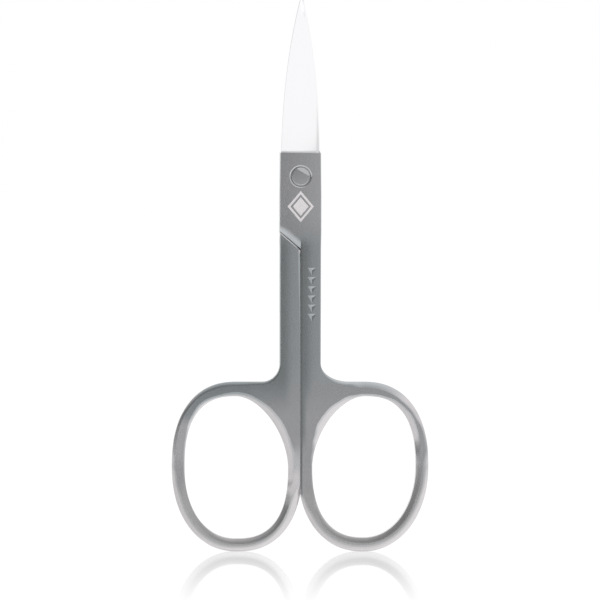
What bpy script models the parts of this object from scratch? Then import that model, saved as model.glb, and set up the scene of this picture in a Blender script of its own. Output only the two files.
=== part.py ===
"""Nail scissors: two forged steel halves with curved blades and oval finger rings, on one rivet.

X points right, Z towards the blade tips, and the front faces -Y. The rivet lies on the Y axis,
and the flat back of the closed scissors is the plane Y = 0.
"""
import math

import bmesh
import bpy
from mathutils import Vector

MM = 0.001

# Reach of the tool from the rivet's axis
TIP_ABOVE_RIVET = 28.8 * MM
RINGS_BELOW_RIVET = 61.2 * MM

# Plate that both halves are forged to, and the clearances between them
THICKNESS = 3.2 * MM
RIDE_GAP = 0.1 * MM
SEAM_GAP = 0.15 * MM

# Ride, the flat part round the rivet, and the shank below it
RIDE_WIDTH = 6.76 * MM
HEEL_WIDTH = 6.6 * MM
SHANKS_WIDTH = 6.64 * MM
GRIND_LINE = 3.9 * MM
FULL_WIDTH_BELOW = 3.0 * MM
SHOULDER_DROP = 9.0 * MM
SHOULDER_ANGLE = math.radians(40.6)
SHOULDER_GAP = 0.2 * MM
SHOULDER_CHAMFER = 0.25 * MM

# Finger ring: an oval whose inner side is cut off by the seam
RING_WIDTH = 20.95 * MM
RING_HEIGHT = 27.7 * MM
RING_OVERRUN = 0.3 * MM
SEAM_WALL = 1.88 * MM
OUTER_WALL = 2.05 * MM
TOP_WALL = 2.35 * MM
BOTTOM_WALL = 2.2 * MM
ROOT_FILLET = 2.9 * MM

# How square each quarter of the ovals is: 2 is an ellipse, more is squarer
RING_TOP_OUTER = 2.35
RING_BOTTOM_OUTER = 2.15
RING_BOTTOM_INNER = 2.25
HOLE_TOP_OUTER = 2.55
HOLE_BOTTOM_OUTER = 2.15
HOLE_BOTTOM_INNER = 2.4
HOLE_TOP_INNER = 1.8

# Rounding of the edges between the faces and the sides, and the most it takes of a ring's wall
GRIND_ROUND = 0.12 * MM
SHANK_ROUND = 0.35 * MM
SEAM_ROUND = 0.2 * MM
DIAGONAL_ROUND = 1.2 * MM
ROOT_ROUND = 0.55 * MM
RING_ROUND = 1.0 * MM
WEB_ROUND = 1.25 * MM
SEAM_ROUND_RUN = 5.0 * MM
WALL_SHARE = 0.47
WEB_SHARE = 0.65

# Blade
GRIND_STEP = 0.06 * MM
BLADE_ROOT = 0.7 * MM
BLADE_BEND = 3.8 * MM
BLADE_LEAN = math.radians(4)
BLADE_TAPER = 0.7 * MM
BELLY_POWER = 2.4
TIP_HALF_WIDTH = 0.32 * MM
TIP_RADIUS = 0.35 * MM
TIP_ROUNDING = 0.92
EDGE_SETBACK = 0.2 * MM
SPINE_THICK_HEEL = 1.35 * MM
SPINE_THICK_TIP = 0.6 * MM
SPINE_ROUND = 0.3 * MM
EDGE_THICK_HEEL = 0.3 * MM
EDGE_THICK_TIP = 0.15 * MM
EDGE_BEVEL = 0.3 * MM
EDGE_LAND = 0.06 * MM
EDGE_TIP = 0.02 * MM
HOLLOW = 0.1 * MM
CROWN_POWER = 1.8
CORNER_SHARE = 0.2

# Rivet
RIVET_SHANK_RADIUS = 1.0 * MM
RIVET_HEAD_RADIUS = 1.47 * MM
RIVET_HEAD_HEIGHT = 0.85 * MM
RIVET_HEAD_CHAMFER = 0.1 * MM
RIVET_CROWN = 0.06 * MM
RIVET_TAIL_RADIUS = 1.4 * MM
RIVET_TAIL_HEIGHT = 0.45 * MM
TAIL_CLEARANCE = 0.02 * MM
RUNNING_CLEARANCE = 0.05 * MM
RECESS_CLEARANCE = 0.21 * MM
RECESS_CHAMFER = 0.2 * MM

# Fineness of the facets
ROUND_STEPS = 3
QUARTER_STEPS = 15
FILLET_STEPS = 8
BLADE_STEPS = 14
TIP_STEPS = 4
SECTION_STEPS = 4
CROWN_STEPS = 3
TURN_STEPS = 32
SHARP_ANGLE = math.radians(35)

# Outline edges that turn by less than this share one rounding
STRAIGHT_ANGLE = math.radians(14)

# What the cutters reach past the body
MARGIN = 1.0 * MM

HALF_WIDTH = RIDE_WIDTH / 2
SHANK_SIDE = SHANKS_WIDTH / 2
RING_TOP = RING_HEIGHT - RINGS_BELOW_RIVET
PARTING_Y = -THICKNESS / 2
QUARTER = math.pi / 2


class Oval:
    """An oval in the XZ plane, given by its outer limits."""

    def __init__(self, left, right, bottom, top):
        self.middle_x = (left + right) / 2
        self.middle_z = (bottom + top) / 2
        self.half_x = (right - left) / 2
        self.half_z = (top - bottom) / 2

    def point(self, angle, power):
        across = math.copysign(abs(math.cos(angle)) ** (2 / power), math.cos(angle))
        up = math.copysign(abs(math.sin(angle)) ** (2 / power), math.sin(angle))
        return self.middle_x + self.half_x * across, self.middle_z + self.half_z * up

    def angle_at(self, x, power):
        """Angle at which the lower part of the oval's inner side crosses x."""
        share = min(1.0, (self.middle_x - x) / self.half_x)
        return math.pi + math.acos(share ** (power / 2))


RING = Oval(-RING_OVERRUN, RING_WIDTH, -RINGS_BELOW_RIVET, RING_TOP)
HOLE = Oval(SEAM_GAP / 2 + SEAM_WALL, RING_WIDTH - OUTER_WALL,
            BOTTOM_WALL - RINGS_BELOW_RIVET, RING_TOP - TOP_WALL)


def smooth(share):
    share = min(1.0, max(0.0, share))
    return share * share * (3 - 2 * share)


def mix(start, end, share):
    return start + (end - start) * share


def straight(start, end, steps, start_round, end_round=None):
    """Points (x, z, rounding) on a line, both ends included."""
    end_round = start_round if end_round is None else end_round
    points = []
    for step in range(steps + 1):
        share = step / steps
        points.append((mix(start[0], end[0], share), mix(start[1], end[1], share),
                       mix(start_round, end_round, smooth(share))))
    return points


def oval_arc(oval, start, end, power, start_round, end_round):
    """Points (x, z, rounding) on an oval between two angles, both ends included."""
    points = []
    for step in range(QUARTER_STEPS + 1):
        share = step / QUARTER_STEPS
        x, z = oval.point(mix(start, end, share), power)
        points.append((x, z, mix(start_round, end_round, smooth(share))))
    return points


def root_fillet():
    """The hollow corner between the ring's top and the shank."""
    points = []
    for step in range(FILLET_STEPS + 1):
        share = step / FILLET_STEPS
        angle = -QUARTER - QUARTER * share
        points.append((SHANK_SIDE + ROOT_FILLET * (1 + math.cos(angle)),
                       RING_TOP + ROOT_FILLET * (1 + math.sin(angle)),
                       mix(ROOT_ROUND, SHANK_ROUND, smooth(share))))
    return points


def diagonal_height(x):
    """Height of the lower edge of a half's own ride, which slopes down from its outer corner."""
    return -SHOULDER_DROP - (x + HALF_WIDTH) * math.tan(SHOULDER_ANGLE)


def half_outline():
    """Outer outline of the half whose ring is on the right, with its material on the left hand."""
    seam = SEAM_GAP / 2
    outer_round = min(RING_ROUND, WALL_SHARE * OUTER_WALL)
    top_round = min(RING_ROUND, WALL_SHARE * TOP_WALL)
    notch = (seam, diagonal_height(seam))
    parting_angle = RING.angle_at(seam, RING_BOTTOM_INNER)
    parting = RING.point(parting_angle, RING_BOTTOM_INNER)
    blend_start = (seam, min(notch[1] - SEAM_ROUND_RUN, parting[1] + SEAM_ROUND_RUN))
    left_heel, right_heel = (-HEEL_WIDTH / 2, GRIND_LINE), (HEEL_WIDTH / 2, GRIND_LINE)
    left_waist, right_waist = (-HALF_WIDTH, -FULL_WIDTH_BELOW), (HALF_WIDTH, -FULL_WIDTH_BELOW)
    left_corner, right_corner = (-HALF_WIDTH, -SHOULDER_DROP), (HALF_WIDTH, -SHOULDER_DROP)
    shank_top, shank_foot = (SHANK_SIDE, notch[1]), (SHANK_SIDE, RING_TOP + ROOT_FILLET)
    ring_crest, fillet_end = (RING.middle_x, RING_TOP), (SHANK_SIDE + ROOT_FILLET, RING_TOP)
    return [
        straight(left_heel, left_waist, 1, SHANK_ROUND),
        straight(left_waist, left_corner, 2, SHANK_ROUND),
        straight(left_corner, notch, 4, DIAGONAL_ROUND),
        straight(notch, blend_start, 4, SEAM_ROUND),
        straight(blend_start, parting, 6, SEAM_ROUND, outer_round),
        oval_arc(RING, parting_angle, 3 * QUARTER, RING_BOTTOM_INNER, outer_round, outer_round),
        oval_arc(RING, -QUARTER, 0, RING_BOTTOM_OUTER, outer_round, outer_round),
        oval_arc(RING, 0, QUARTER, RING_TOP_OUTER, outer_round, top_round),
        straight(ring_crest, fillet_end, 3, top_round, ROOT_ROUND),
        root_fillet(),
        straight(shank_foot, shank_top, 4, SHANK_ROUND),
        straight(shank_top, right_corner, 1, SHANK_ROUND),
        straight(right_corner, right_waist, 2, SHANK_ROUND),
        straight(right_waist, right_heel, 1, SHANK_ROUND),
        straight(right_heel, left_heel, 2, GRIND_ROUND),
    ]


def hole_outline():
    """Outline of the finger hole, also with the material on the left hand."""
    outer_round = min(RING_ROUND, WALL_SHARE * OUTER_WALL)
    web_round = min(WEB_ROUND, WEB_SHARE * SEAM_WALL)
    return [
        oval_arc(HOLE, QUARTER, 0, HOLE_TOP_OUTER, outer_round, outer_round),
        oval_arc(HOLE, 0, -QUARTER, HOLE_BOTTOM_OUTER, outer_round, outer_round),
        oval_arc(HOLE, -QUARTER, -2 * QUARTER, HOLE_BOTTOM_INNER, outer_round, web_round),
        oval_arc(HOLE, 2 * QUARTER, QUARTER, HOLE_TOP_INNER, web_round, outer_round),
    ]


def inset_corners(segments):
    """Give each outline point the vector that insets it by its edges' roundings, and their mean."""
    points = []
    for index, segment in enumerate(segments):
        before = segments[index - 1][-1][2]
        for place, (x, z, rounding) in enumerate(segment[:-1]):
            points.append((Vector((x, z)), before if place == 0 else rounding, rounding))
    corners = []
    for index, (point, round_before, round_after) in enumerate(points):
        into = (point - points[index - 1][0]).normalized()
        out_of = (points[(index + 1) % len(points)][0] - point).normalized()
        normal_before = Vector((-into.y, into.x))
        normal_after = Vector((-out_of.y, out_of.x))
        mean_round = (round_before + round_after) / 2
        cosine = normal_before.dot(normal_after)
        if cosine > math.cos(STRAIGHT_ANGLE):
            inset = (normal_before + normal_after) * mean_round / (1 + cosine)
        else:
            along_before = (round_before - round_after * cosine) / (1 - cosine ** 2)
            along_after = (round_after - round_before * cosine) / (1 - cosine ** 2)
            inset = normal_before * along_before + normal_after * along_after
        corners.append((point, inset, mean_round))
    return corners


def bridge(mesh_data, rows):
    """Faces between closed rows of equally many points."""
    for lower, upper in zip(rows, rows[1:]):
        for index in range(len(lower)):
            after = (index + 1) % len(lower)
            mesh_data.faces.new((lower[index], lower[after], upper[after], upper[index]))


def finish_mesh(name, mesh_data):
    bmesh.ops.recalc_face_normals(mesh_data, faces=mesh_data.faces)
    mesh = bpy.data.meshes.new(name)
    mesh_data.to_mesh(mesh)
    mesh_data.free()
    return bpy.data.objects.new(name, mesh)


def rounded_plate(name, outlines):
    """A plate between Y = -THICKNESS and 0, its edges rounded by each outline point's own amount."""
    mesh_data = bmesh.new()
    angles = [QUARTER * step / ROUND_STEPS for step in range(ROUND_STEPS + 1)]
    turns = [(-1, angle) for angle in reversed(angles)] + [(1, angle) for angle in angles]
    front_edges, back_edges = [], []
    for segments in outlines:
        corners = inset_corners(segments)
        rows = []
        for side, angle in turns:
            row = []
            for point, inset, rounding in corners:
                flat = point + inset * (1 - math.cos(angle))
                height = THICKNESS / 2 - rounding * (1 - math.sin(angle))
                row.append(mesh_data.verts.new((flat.x, PARTING_Y + side * height, flat.y)))
            rows.append(row)
        bridge(mesh_data, rows)
        for row, edges in ((rows[0], front_edges), (rows[-1], back_edges)):
            edges += [mesh_data.edges.get((row[index - 1], row[index])) for index in range(len(row))]
    bmesh.ops.triangle_fill(mesh_data, use_beauty=True, edges=front_edges, normal=(0, -1, 0))
    bmesh.ops.triangle_fill(mesh_data, use_beauty=True, edges=back_edges, normal=(0, 1, 0))
    return finish_mesh(name, mesh_data)


def loft(name, sections):
    """A closed body through sections of equally many points."""
    mesh_data = bmesh.new()
    rows = [[mesh_data.verts.new(point) for point in section] for section in sections]
    bridge(mesh_data, rows)
    mesh_data.faces.new(rows[0])
    mesh_data.faces.new(rows[-1])
    return finish_mesh(name, mesh_data)


def blade_share(z):
    """0 at the heel, 1 at the tip."""
    return max(0.0, z - GRIND_LINE) / (TIP_ABOVE_RIVET - GRIND_LINE)


def blade_half_width(z):
    """Half the closed blades' width: a straight taper and a belly, rounded off at the tip."""
    heel = HEEL_WIDTH / 2 - GRIND_STEP
    share = blade_share(z)
    belly = heel - BLADE_TAPER - TIP_HALF_WIDTH
    width = heel - BLADE_TAPER * share - belly * share ** BELLY_POWER
    to_tip = min(1.0, max(0.0, (z - TIP_ABOVE_RIVET + TIP_RADIUS) / TIP_RADIUS))
    return width * math.sqrt(1 - TIP_ROUNDING * to_tip ** 2)


def blade_bend(z):
    """How far the blades have left the plate's plane at a height: they lean from the heel on and curve."""
    length = TIP_ABOVE_RIVET - GRIND_LINE
    leaning = length * math.tan(BLADE_LEAN)
    curving = BLADE_BEND - leaning
    radius = (length ** 2 + curving ** 2) / (2 * curving)
    share = blade_share(z)
    return leaning * share + radius - math.sqrt(radius ** 2 - (length * share) ** 2)


def blade_section(z, bend_side):
    """Section of a blade in the front layer: spine on the left, cutting edge on the right."""
    half_width = blade_half_width(z)
    spine = -half_width
    edge = half_width - EDGE_SETBACK * half_width / (HEEL_WIDTH / 2)
    width = edge - spine
    share_up = blade_share(z)
    inner = RIDE_GAP / 2
    behind_edge = mix(EDGE_THICK_HEEL, EDGE_THICK_TIP, share_up)
    thick = mix(SPINE_THICK_HEEL, SPINE_THICK_TIP, share_up)
    bevel = min(EDGE_BEVEL, CORNER_SHARE * width)
    rounding = min(SPINE_ROUND, CORNER_SHARE * width)
    profile = []
    for step in range(SECTION_STEPS + 1):
        angle = QUARTER * step / SECTION_STEPS
        profile.append((rounding * (1 - math.cos(angle)),
                        inner + HOLLOW + (thick - HOLLOW) * math.sin(angle)))
    for step in range(1, SECTION_STEPS + 1):
        share = step / SECTION_STEPS
        profile.append((mix(rounding, width - bevel, share),
                        inner + mix(thick, behind_edge, share ** CROWN_POWER)))
    profile.append((width, inner + EDGE_LAND + EDGE_TIP))
    profile.append((width, inner + EDGE_LAND))
    for step in range(SECTION_STEPS - 1, 0, -1):
        share = step / SECTION_STEPS
        profile.append((width * share, inner + EDGE_LAND + HOLLOW * math.sin(math.pi * share)))
    middle = PARTING_Y + bend_side * blade_bend(z)
    return [(spine + across, middle - out, z) for across, out in profile]


def blade(name, bend_side):
    """A blade whose root is buried in the ride; bend_side is -1 to curve forwards, 1 backwards."""
    heights = [GRIND_LINE - BLADE_ROOT]
    straight_top = TIP_ABOVE_RIVET - TIP_RADIUS
    for step in range(BLADE_STEPS + 1):
        heights.append(mix(GRIND_LINE, straight_top, step / BLADE_STEPS))
    for step in range(1, TIP_STEPS + 1):
        heights.append(straight_top + TIP_RADIUS * math.sin(QUARTER * step / TIP_STEPS))
    return loft(name, [blade_section(z, bend_side) for z in heights])


def ride_space(name):
    """Cutter for the layer behind a half's ride, down to the shoulder that the other ride meets."""
    drop = SHOULDER_GAP / math.cos(SHOULDER_ANGLE)
    left, right = -HALF_WIDTH - MARGIN, HALF_WIDTH + MARGIN
    front = PARTING_Y - RIDE_GAP / 2
    rows = ((front, 0.0), (-SHOULDER_CHAMFER, 0.0), (MARGIN, SHOULDER_CHAMFER + MARGIN))
    sections = []
    for y, lower in rows:
        bottom_left = diagonal_height(-left) - drop - lower
        bottom_right = diagonal_height(-right) - drop - lower
        top = GRIND_LINE + MARGIN
        sections.append([(left, y, bottom_left), (right, y, bottom_right), (right, y, top), (left, y, top)])
    return loft(name, sections)


def turned(name, profile):
    """A body turned about the rivet's axis from (radius, height above the back) points, top first."""
    mesh = bpy.data.meshes.new(name)
    points = [(radius, 0.0, height) for radius, height in profile]
    mesh.from_pydata(points, [(index, index + 1) for index in range(len(points) - 1)], [])
    body = bpy.data.objects.new(name, mesh)
    body.rotation_euler = (QUARTER, 0, 0)
    screw = body.modifiers.new("turn", "SCREW")
    screw.axis = "Z"
    screw.steps = TURN_STEPS
    screw.render_steps = TURN_STEPS
    screw.use_merge_vertices = True
    screw.merge_threshold = 0.000001
    return body


def rivet_profile():
    head_floor = THICKNESS - RIVET_HEAD_HEIGHT
    flat_radius = RIVET_HEAD_RADIUS - RIVET_HEAD_CHAMFER
    crown = []
    for step in range(CROWN_STEPS + 1):
        share = step / CROWN_STEPS
        crown.append((flat_radius * share, THICKNESS + RIVET_CROWN * (1 - share ** 2)))
    return crown + [
        (RIVET_HEAD_RADIUS, THICKNESS - RIVET_HEAD_CHAMFER),
        (RIVET_HEAD_RADIUS, head_floor),
        (RIVET_SHANK_RADIUS, head_floor),
        (RIVET_SHANK_RADIUS, RIVET_TAIL_HEIGHT),
        (RIVET_TAIL_RADIUS, 0.0),
        (0.0, 0.0),
    ]


def front_bore_profile():
    """Bore of the front half, with the chamfered recess in which the rivet's head turns."""
    floor = THICKNESS - RIVET_HEAD_HEIGHT - RUNNING_CLEARANCE
    bore = RIVET_SHANK_RADIUS + RUNNING_CLEARANCE
    recess = RIVET_HEAD_RADIUS + RECESS_CLEARANCE
    mouth = recess + RECESS_CHAMFER + MARGIN
    return [
        (0.0, THICKNESS + MARGIN),
        (mouth, THICKNESS + MARGIN),
        (recess, THICKNESS - RECESS_CHAMFER),
        (recess, floor),
        (bore, floor),
        (bore, -MARGIN),
        (0.0, -MARGIN),
    ]


def rear_bore_profile():
    """Bore of the rear half, countersunk in its back for the rivet's spread tail."""
    bore = RIVET_SHANK_RADIUS + TAIL_CLEARANCE
    slope = (RIVET_TAIL_RADIUS - RIVET_SHANK_RADIUS) / RIVET_TAIL_HEIGHT
    return [
        (0.0, THICKNESS + MARGIN),
        (bore, THICKNESS + MARGIN),
        (bore, RIVET_TAIL_HEIGHT),
        (bore + slope * (RIVET_TAIL_HEIGHT + MARGIN), -MARGIN),
        (0.0, -MARGIN),
    ]


def steel(name, colour, roughness):
    material = bpy.data.materials.new(name)
    material.use_nodes = True
    shader = material.node_tree.nodes["Principled BSDF"]
    shader.inputs["Base Color"].default_value = (*colour, 1.0)
    shader.inputs["Metallic"].default_value = 1.0
    shader.inputs["Roughness"].default_value = roughness
    return material


def combine(body, other, operation):
    modifier = body.modifiers.new(other.name, "BOOLEAN")
    modifier.operation = operation
    modifier.solver = "EXACT"
    modifier.material_mode = "TRANSFER"
    modifier.object = other


def hide_helper(helper):
    helper.hide_render = True
    helper.display_type = "WIRE"


def collection(name):
    made = bpy.data.collections.new(name)
    bpy.context.scene.collection.children.link(made)
    return made


def forged_half(name, blade_bend_side, bore, parts, helpers, satin, polished):
    """One half, modelled in the pose of the front one: ring on the right, ride in the front layer."""
    half = rounded_plate(name, [half_outline(), hole_outline()])
    blade_part = blade(name + "_blade", blade_bend_side)
    space = ride_space(name + "_ride_space")
    half.data.materials.append(satin)
    space.data.materials.append(satin)
    blade_part.data.materials.append(polished)
    parts.objects.link(half)
    for helper in (blade_part, space, bore):
        helpers.objects.link(helper)
        hide_helper(helper)
    for helper in (blade_part, space):
        helper.parent = half
    combine(half, space, "DIFFERENCE")
    combine(half, blade_part, "UNION")
    combine(half, bore, "DIFFERENCE")
    return half


def finish(body):
    """Fix what the body's modifiers make of it in its place, and shade only its round faces smooth."""
    bpy.context.view_layer.update()
    evaluated = body.evaluated_get(bpy.context.evaluated_depsgraph_get())
    mesh = bpy.data.meshes.new_from_object(evaluated)
    body.modifiers.clear()
    body.data = mesh
    mesh.name = body.name
    mesh.shade_smooth()
    mesh.set_sharp_from_angle(angle=SHARP_ANGLE)
    normals = body.modifiers.new("flat faces", "WEIGHTED_NORMAL")
    normals.keep_sharp = True


def build():
    for old in list(bpy.data.objects):
        bpy.data.objects.remove(old, do_unlink=True)
    parts = collection("nail_scissors")
    helpers = collection("cutters")
    satin = steel("satin_steel", (0.42, 0.43, 0.44), 0.34)
    polished = steel("polished_steel", (0.82, 0.82, 0.84), 0.12)
    rivet_steel = steel("rivet_steel", (0.45, 0.46, 0.47), 0.3)

    pivot = bpy.data.objects.new("pivot_axis", None)
    pivot.empty_display_size = RIVET_HEAD_RADIUS
    parts.objects.link(pivot)

    front = forged_half("front_half", -1, turned("front_bore", front_bore_profile()),
                        parts, helpers, satin, polished)
    front.parent = pivot

    rear = forged_half("rear_half", 1, turned("rear_bore", rear_bore_profile()),
                       parts, helpers, satin, polished)
    rear.rotation_euler = (0, 0, math.pi)
    rear.location = (0, -THICKNESS, 0)

    rivet = turned("pivot_rivet", rivet_profile())
    rivet.data.materials.append(rivet_steel)
    parts.objects.link(rivet)

    for body in (front, rear, rivet):
        finish(body)


build()
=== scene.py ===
import math

import bmesh
import bpy
from mathutils import Matrix, Vector


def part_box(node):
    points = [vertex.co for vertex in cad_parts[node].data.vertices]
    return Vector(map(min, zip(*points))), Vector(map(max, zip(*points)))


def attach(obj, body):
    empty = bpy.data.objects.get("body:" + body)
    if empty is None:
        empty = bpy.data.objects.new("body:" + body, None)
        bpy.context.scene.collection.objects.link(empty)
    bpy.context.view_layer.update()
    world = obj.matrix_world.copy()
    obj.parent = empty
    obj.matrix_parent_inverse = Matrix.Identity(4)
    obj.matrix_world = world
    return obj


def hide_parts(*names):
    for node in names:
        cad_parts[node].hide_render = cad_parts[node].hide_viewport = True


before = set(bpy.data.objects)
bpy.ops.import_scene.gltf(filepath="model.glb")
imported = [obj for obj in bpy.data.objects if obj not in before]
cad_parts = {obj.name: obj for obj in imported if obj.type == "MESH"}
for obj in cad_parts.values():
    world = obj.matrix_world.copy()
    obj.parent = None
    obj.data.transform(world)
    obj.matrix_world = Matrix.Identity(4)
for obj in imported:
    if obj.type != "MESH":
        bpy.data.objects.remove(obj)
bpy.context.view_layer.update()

MM = 0.001

# Reach of the tool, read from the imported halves
HALF_LOW, HALF_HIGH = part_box("front_half")
TIP_TOP = HALF_HIGH.z
RING_FOOT, RING_SIDE = HALF_LOW.z, HALF_HIGH.x
PLATE_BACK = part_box("rear_half")[1].y

# Plate that both halves are forged to
THICKNESS = 3.2 * MM
PLATE_FRONT = PLATE_BACK - THICKNESS
PARTING = PLATE_BACK - THICKNESS / 2
RIDE_GAP = 0.1 * MM
SEAM_GAP = 0.02 * MM

# Ride, the flat part round the rivet, and the shank below it
RIDE_HALF_WIDTH = 3.38 * MM
HEEL_HALF_WIDTH = 3.3 * MM
SHANK_SIDE = 3.32 * MM
GRIND_LINE = 3.9 * MM
FULL_WIDTH_BELOW = 3.0 * MM
SHOULDER_DROP = 9.0 * MM
SHOULDER_ANGLE = math.radians(40.6)
SHOULDER_GAP = 0.06 * MM
SHOULDER_EDGE = 0.24 * MM
SHOULDER_EDGE_DEPTH = 0.16 * MM

# Finger ring: an oval whose inner side is cut off by the seam
RING_HEIGHT = 27.7 * MM
RING_TOP = RING_FOOT + RING_HEIGHT
RING_OVERRUN = 0.35 * MM
SEAM_WALL = 1.93 * MM
OUTER_WALL = 2.05 * MM
TOP_WALL = 2.35 * MM
SEAM_ROUND_RUN = 2.0 * MM
SEAM_EDGE_RUN = 17.0 * MM

# Ground edge along the grind line, where the blades begin
GRIND_EDGE = 0.22 * MM
GRIND_EDGE_DEPTH = 0.10 * MM

# Blade
BLADE_ROOT = 0.7 * MM
GRIND_STEP = 0.06 * MM
BLADE_BEND = 3.8 * MM
BLADE_LEAN = math.radians(4)
BLADE_TAPER = 0.7 * MM
BELLY_POWER = 2.4
TIP_HALF_WIDTH = 0.32 * MM
TIP_RADIUS = 0.35 * MM
TIP_ROUNDING = 0.92
EDGE_SETBACK = 0.2 * MM
SPINE_THICK_HEEL = 1.35 * MM
SPINE_THICK_TIP = 0.6 * MM
THINNING_POWER = 1.7
SPINE_ROUND = 0.08 * MM
EDGE_THICK_HEEL = 0.3 * MM
EDGE_THICK_TIP = 0.15 * MM
EDGE_BEVEL = 0.3 * MM
EDGE_LAND = 0.06 * MM
EDGE_TIP = 0.02 * MM
HOLLOW = 0.1 * MM
CROWN_POWER = 1.8
CORNER_SHARE = 0.2

# Rivet
RIVET_SHANK_RADIUS = 1.0 * MM
RIVET_HEAD_RADIUS = 1.47 * MM
RIVET_HEAD_HEIGHT = 0.85 * MM
RIVET_CROWN = 0.015 * MM
RIVET_EDGE_ROUND = 0.04 * MM
HEAD_FACET_FROM = 0.78 * MM
HEAD_FACET_TILT = math.radians(16)
HEAD_FACET_TOWARDS = math.radians(60)
RIVET_TAIL_RADIUS = 1.4 * MM
RIVET_TAIL_HEIGHT = 0.45 * MM
TAIL_CLEARANCE = 0.02 * MM
RUNNING_CLEARANCE = 0.05 * MM
RECESS_CLEARANCE = 0.21 * MM
RECESS_CHAMFER = 0.17 * MM
RECESS_CHAMFER_DEPTH = 0.10 * MM

# Fineness
RIM_ROWS = 12
FLAT_MARGIN = 0.035 * MM
QUARTER_STEPS = 72
ARC_SAMPLES = 400
FILLET_STEPS = 26
BLADE_STEPS = 60
TIP_STEPS = 8
SECTION_STEPS = 18
TURN_STEPS = 96
CROWN_STEPS = 8
EDGE_ROUND_STEPS = 5
MERGE_WITHIN = 1e-7
NO_LENGTH = 1e-12

# Ornament: an etched lozenge on the ride and a row of sunk triangles on the right shank
ETCHED_Z = -4.9 * MM
ETCHED_HALF_WIDTH = 2.15 * MM
ETCHED_HALF_HEIGHT = 2.55 * MM
ETCHED_FRAME = 0.78
ETCHED_MIDDLE = 0.6
ETCHED_DEPTH = 0.03 * MM
NOTCHES = 6
NOTCH_X = 1.85 * MM
NOTCH_TOP = -15.3 * MM
NOTCH_PITCH = 1.5 * MM
NOTCH_REACH = 0.8 * MM
NOTCH_DEPTH = 0.2 * MM

# Lower part of the left ring, whose face is ground back between these angles in degrees
THINNED_BY = 0.6 * MM
THINNED_FROM, THINNED_FULLY = 160.0, 220.0
THICKER_FROM, FULL_AGAIN = 222.0, 340.0

# Reach of a cutter past what it cuts, and the largest turns that count as straight and as smooth
MARGIN = 1.0 * MM
STRAIGHT_ANGLE = math.radians(9)
SMOOTH_ANGLE = math.radians(22)
QUARTER = math.pi / 2

# Satin steel's tones, placed in millimetres and degrees, with painted shade and painted light in them.
# Two numbers are a ramp from none to all, and four a band, which is full from the second to the third.
# The tone above and below the rings' lower part; the darker lower tone is painted shade
UPPER_STEEL, LOWER_STEEL = (0.61, 0.615, 0.635), (0.57, 0.57, 0.58)
LOWER_Z = (-45.0, -52.0)
# Painted shade: darker down the shanks and on the left ring's upper part
PAINTED_SHADE_STEEL = (0.47, 0.50, 0.515)
PAINTED_SHADE_SHANK_Z = (-40.0, -29.0, -13.0, -5.0)
PAINTED_SHADE_RING_X, PAINTED_SHADE_RING_Z = (-7.0, -11.0), (-43.5, -40.0, -33.0, -30.0)
# Deeper painted shade on the shanks' left sides and beside the seam in the rings
SHADED_STEEL = (0.36, 0.39, 0.40)
SHADED_SIDE, SHADED_SHANK_Z = (0.3, -0.7), (-40.0, -32.0, -12.0, -9.0)
SHADED_SEAM_X, SHADED_SEAM_Z = (-0.02, 0.0, 0.2, 1.3), (-46.0, -41.0, -40.0, -32.0)
# Painted light on the left ring's outer side
PAINTED_LIGHT_STEEL = (0.72, 0.72, 0.745)
PAINTED_LIGHT_RING_X, PAINTED_LIGHT_RING_Z = (-15.5, -17.5), (-48.0, -45.0, -41.0, -38.5)
# Painted shade: a thin dark line just right of the seam, down the shanks
SEAM_PAINTED_SHADE = (0.30, 0.31, 0.32)
SEAM_PAINTED_SHADE_X, SEAM_PAINTED_SHADE_Z = (0.02, 0.08, 0.26, 0.38), (-10.5, -11.5)
# Ground steel of the rings' edges, brightened as painted highlight, its tone varying at random in patches
GROUND_AND_SHEEN_DULL, GROUND_AND_SHEEN_BRIGHT = (0.70, 0.685, 0.695), (0.79, 0.765, 0.78)
GROUND_DEPTH, GROUND_Z = (0.02, 0.12), (-34.0, -37.0)
# Painted highlight along the edge of the shoulder
SHOULDER_HIGHLIGHT, SHOULDER_HIGHLIGHT_X = (0.1, 0.14, 0.7, 0.8), (0.1, 0.05)
SHOULDER_HIGHLIGHT_DEPTH = (0.02, 0.06)
# Painted highlight on the facet beside the seam, on the left ring's seam side just below its middle
SEAM_FACET_HIGHLIGHT_TURN, SEAM_FACET_HIGHLIGHT_Y = (178.0, 190.0, 204.0, 212.0), (-1.4, -1.8)
ETCHED_STEEL, ETCHED_BLUR = (0.99, 0.955, 0.97), 0.01
ETCHED_DEEP, ETCHED_SHALLOW = 0.1, 0.06
BELOW_ZERO = (0.01, -0.01)
SHANK_MIDDLE, SHANK_HALF_WIDTH, SHANK_Z = 1.7, 1.66, (-9.0, -11.5)
CROWNED_Z = (-36.0, -31.0)
SIGN_STEEPNESS = 1000.0

# Brush marks: how close they lie across and along the pull, and how strong they show
BRUSH_ACROSS, BRUSH_ALONG, BRUSH_ROUND = 14.0, 0.55, 6.0
BRUSH_DETAIL, BRUSH_ROUGHNESS = 4.0, 0.6
BRUSH_TURN_BLEND = 3.0
BUMP_REACH = 0.01 * MM
CROWN_LEAN, PATCH_LEAN = 0.07, 0.03
PATCH_SCALE = 0.35
SATIN_ROUGH, SATIN_STREAKS, SATIN_PATCHES, SATIN_MARKS = 0.18, 0.10, 0.06, 0.08
ETCHED_ROUGH = 0.3

# Blades and rivet
POLISHED = (0.95, 0.94, 0.955, 1.0)
POLISHED_ROUGH, POLISHED_STREAKS, POLISHED_MARKS = 0.06, 0.06, 0.1
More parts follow.
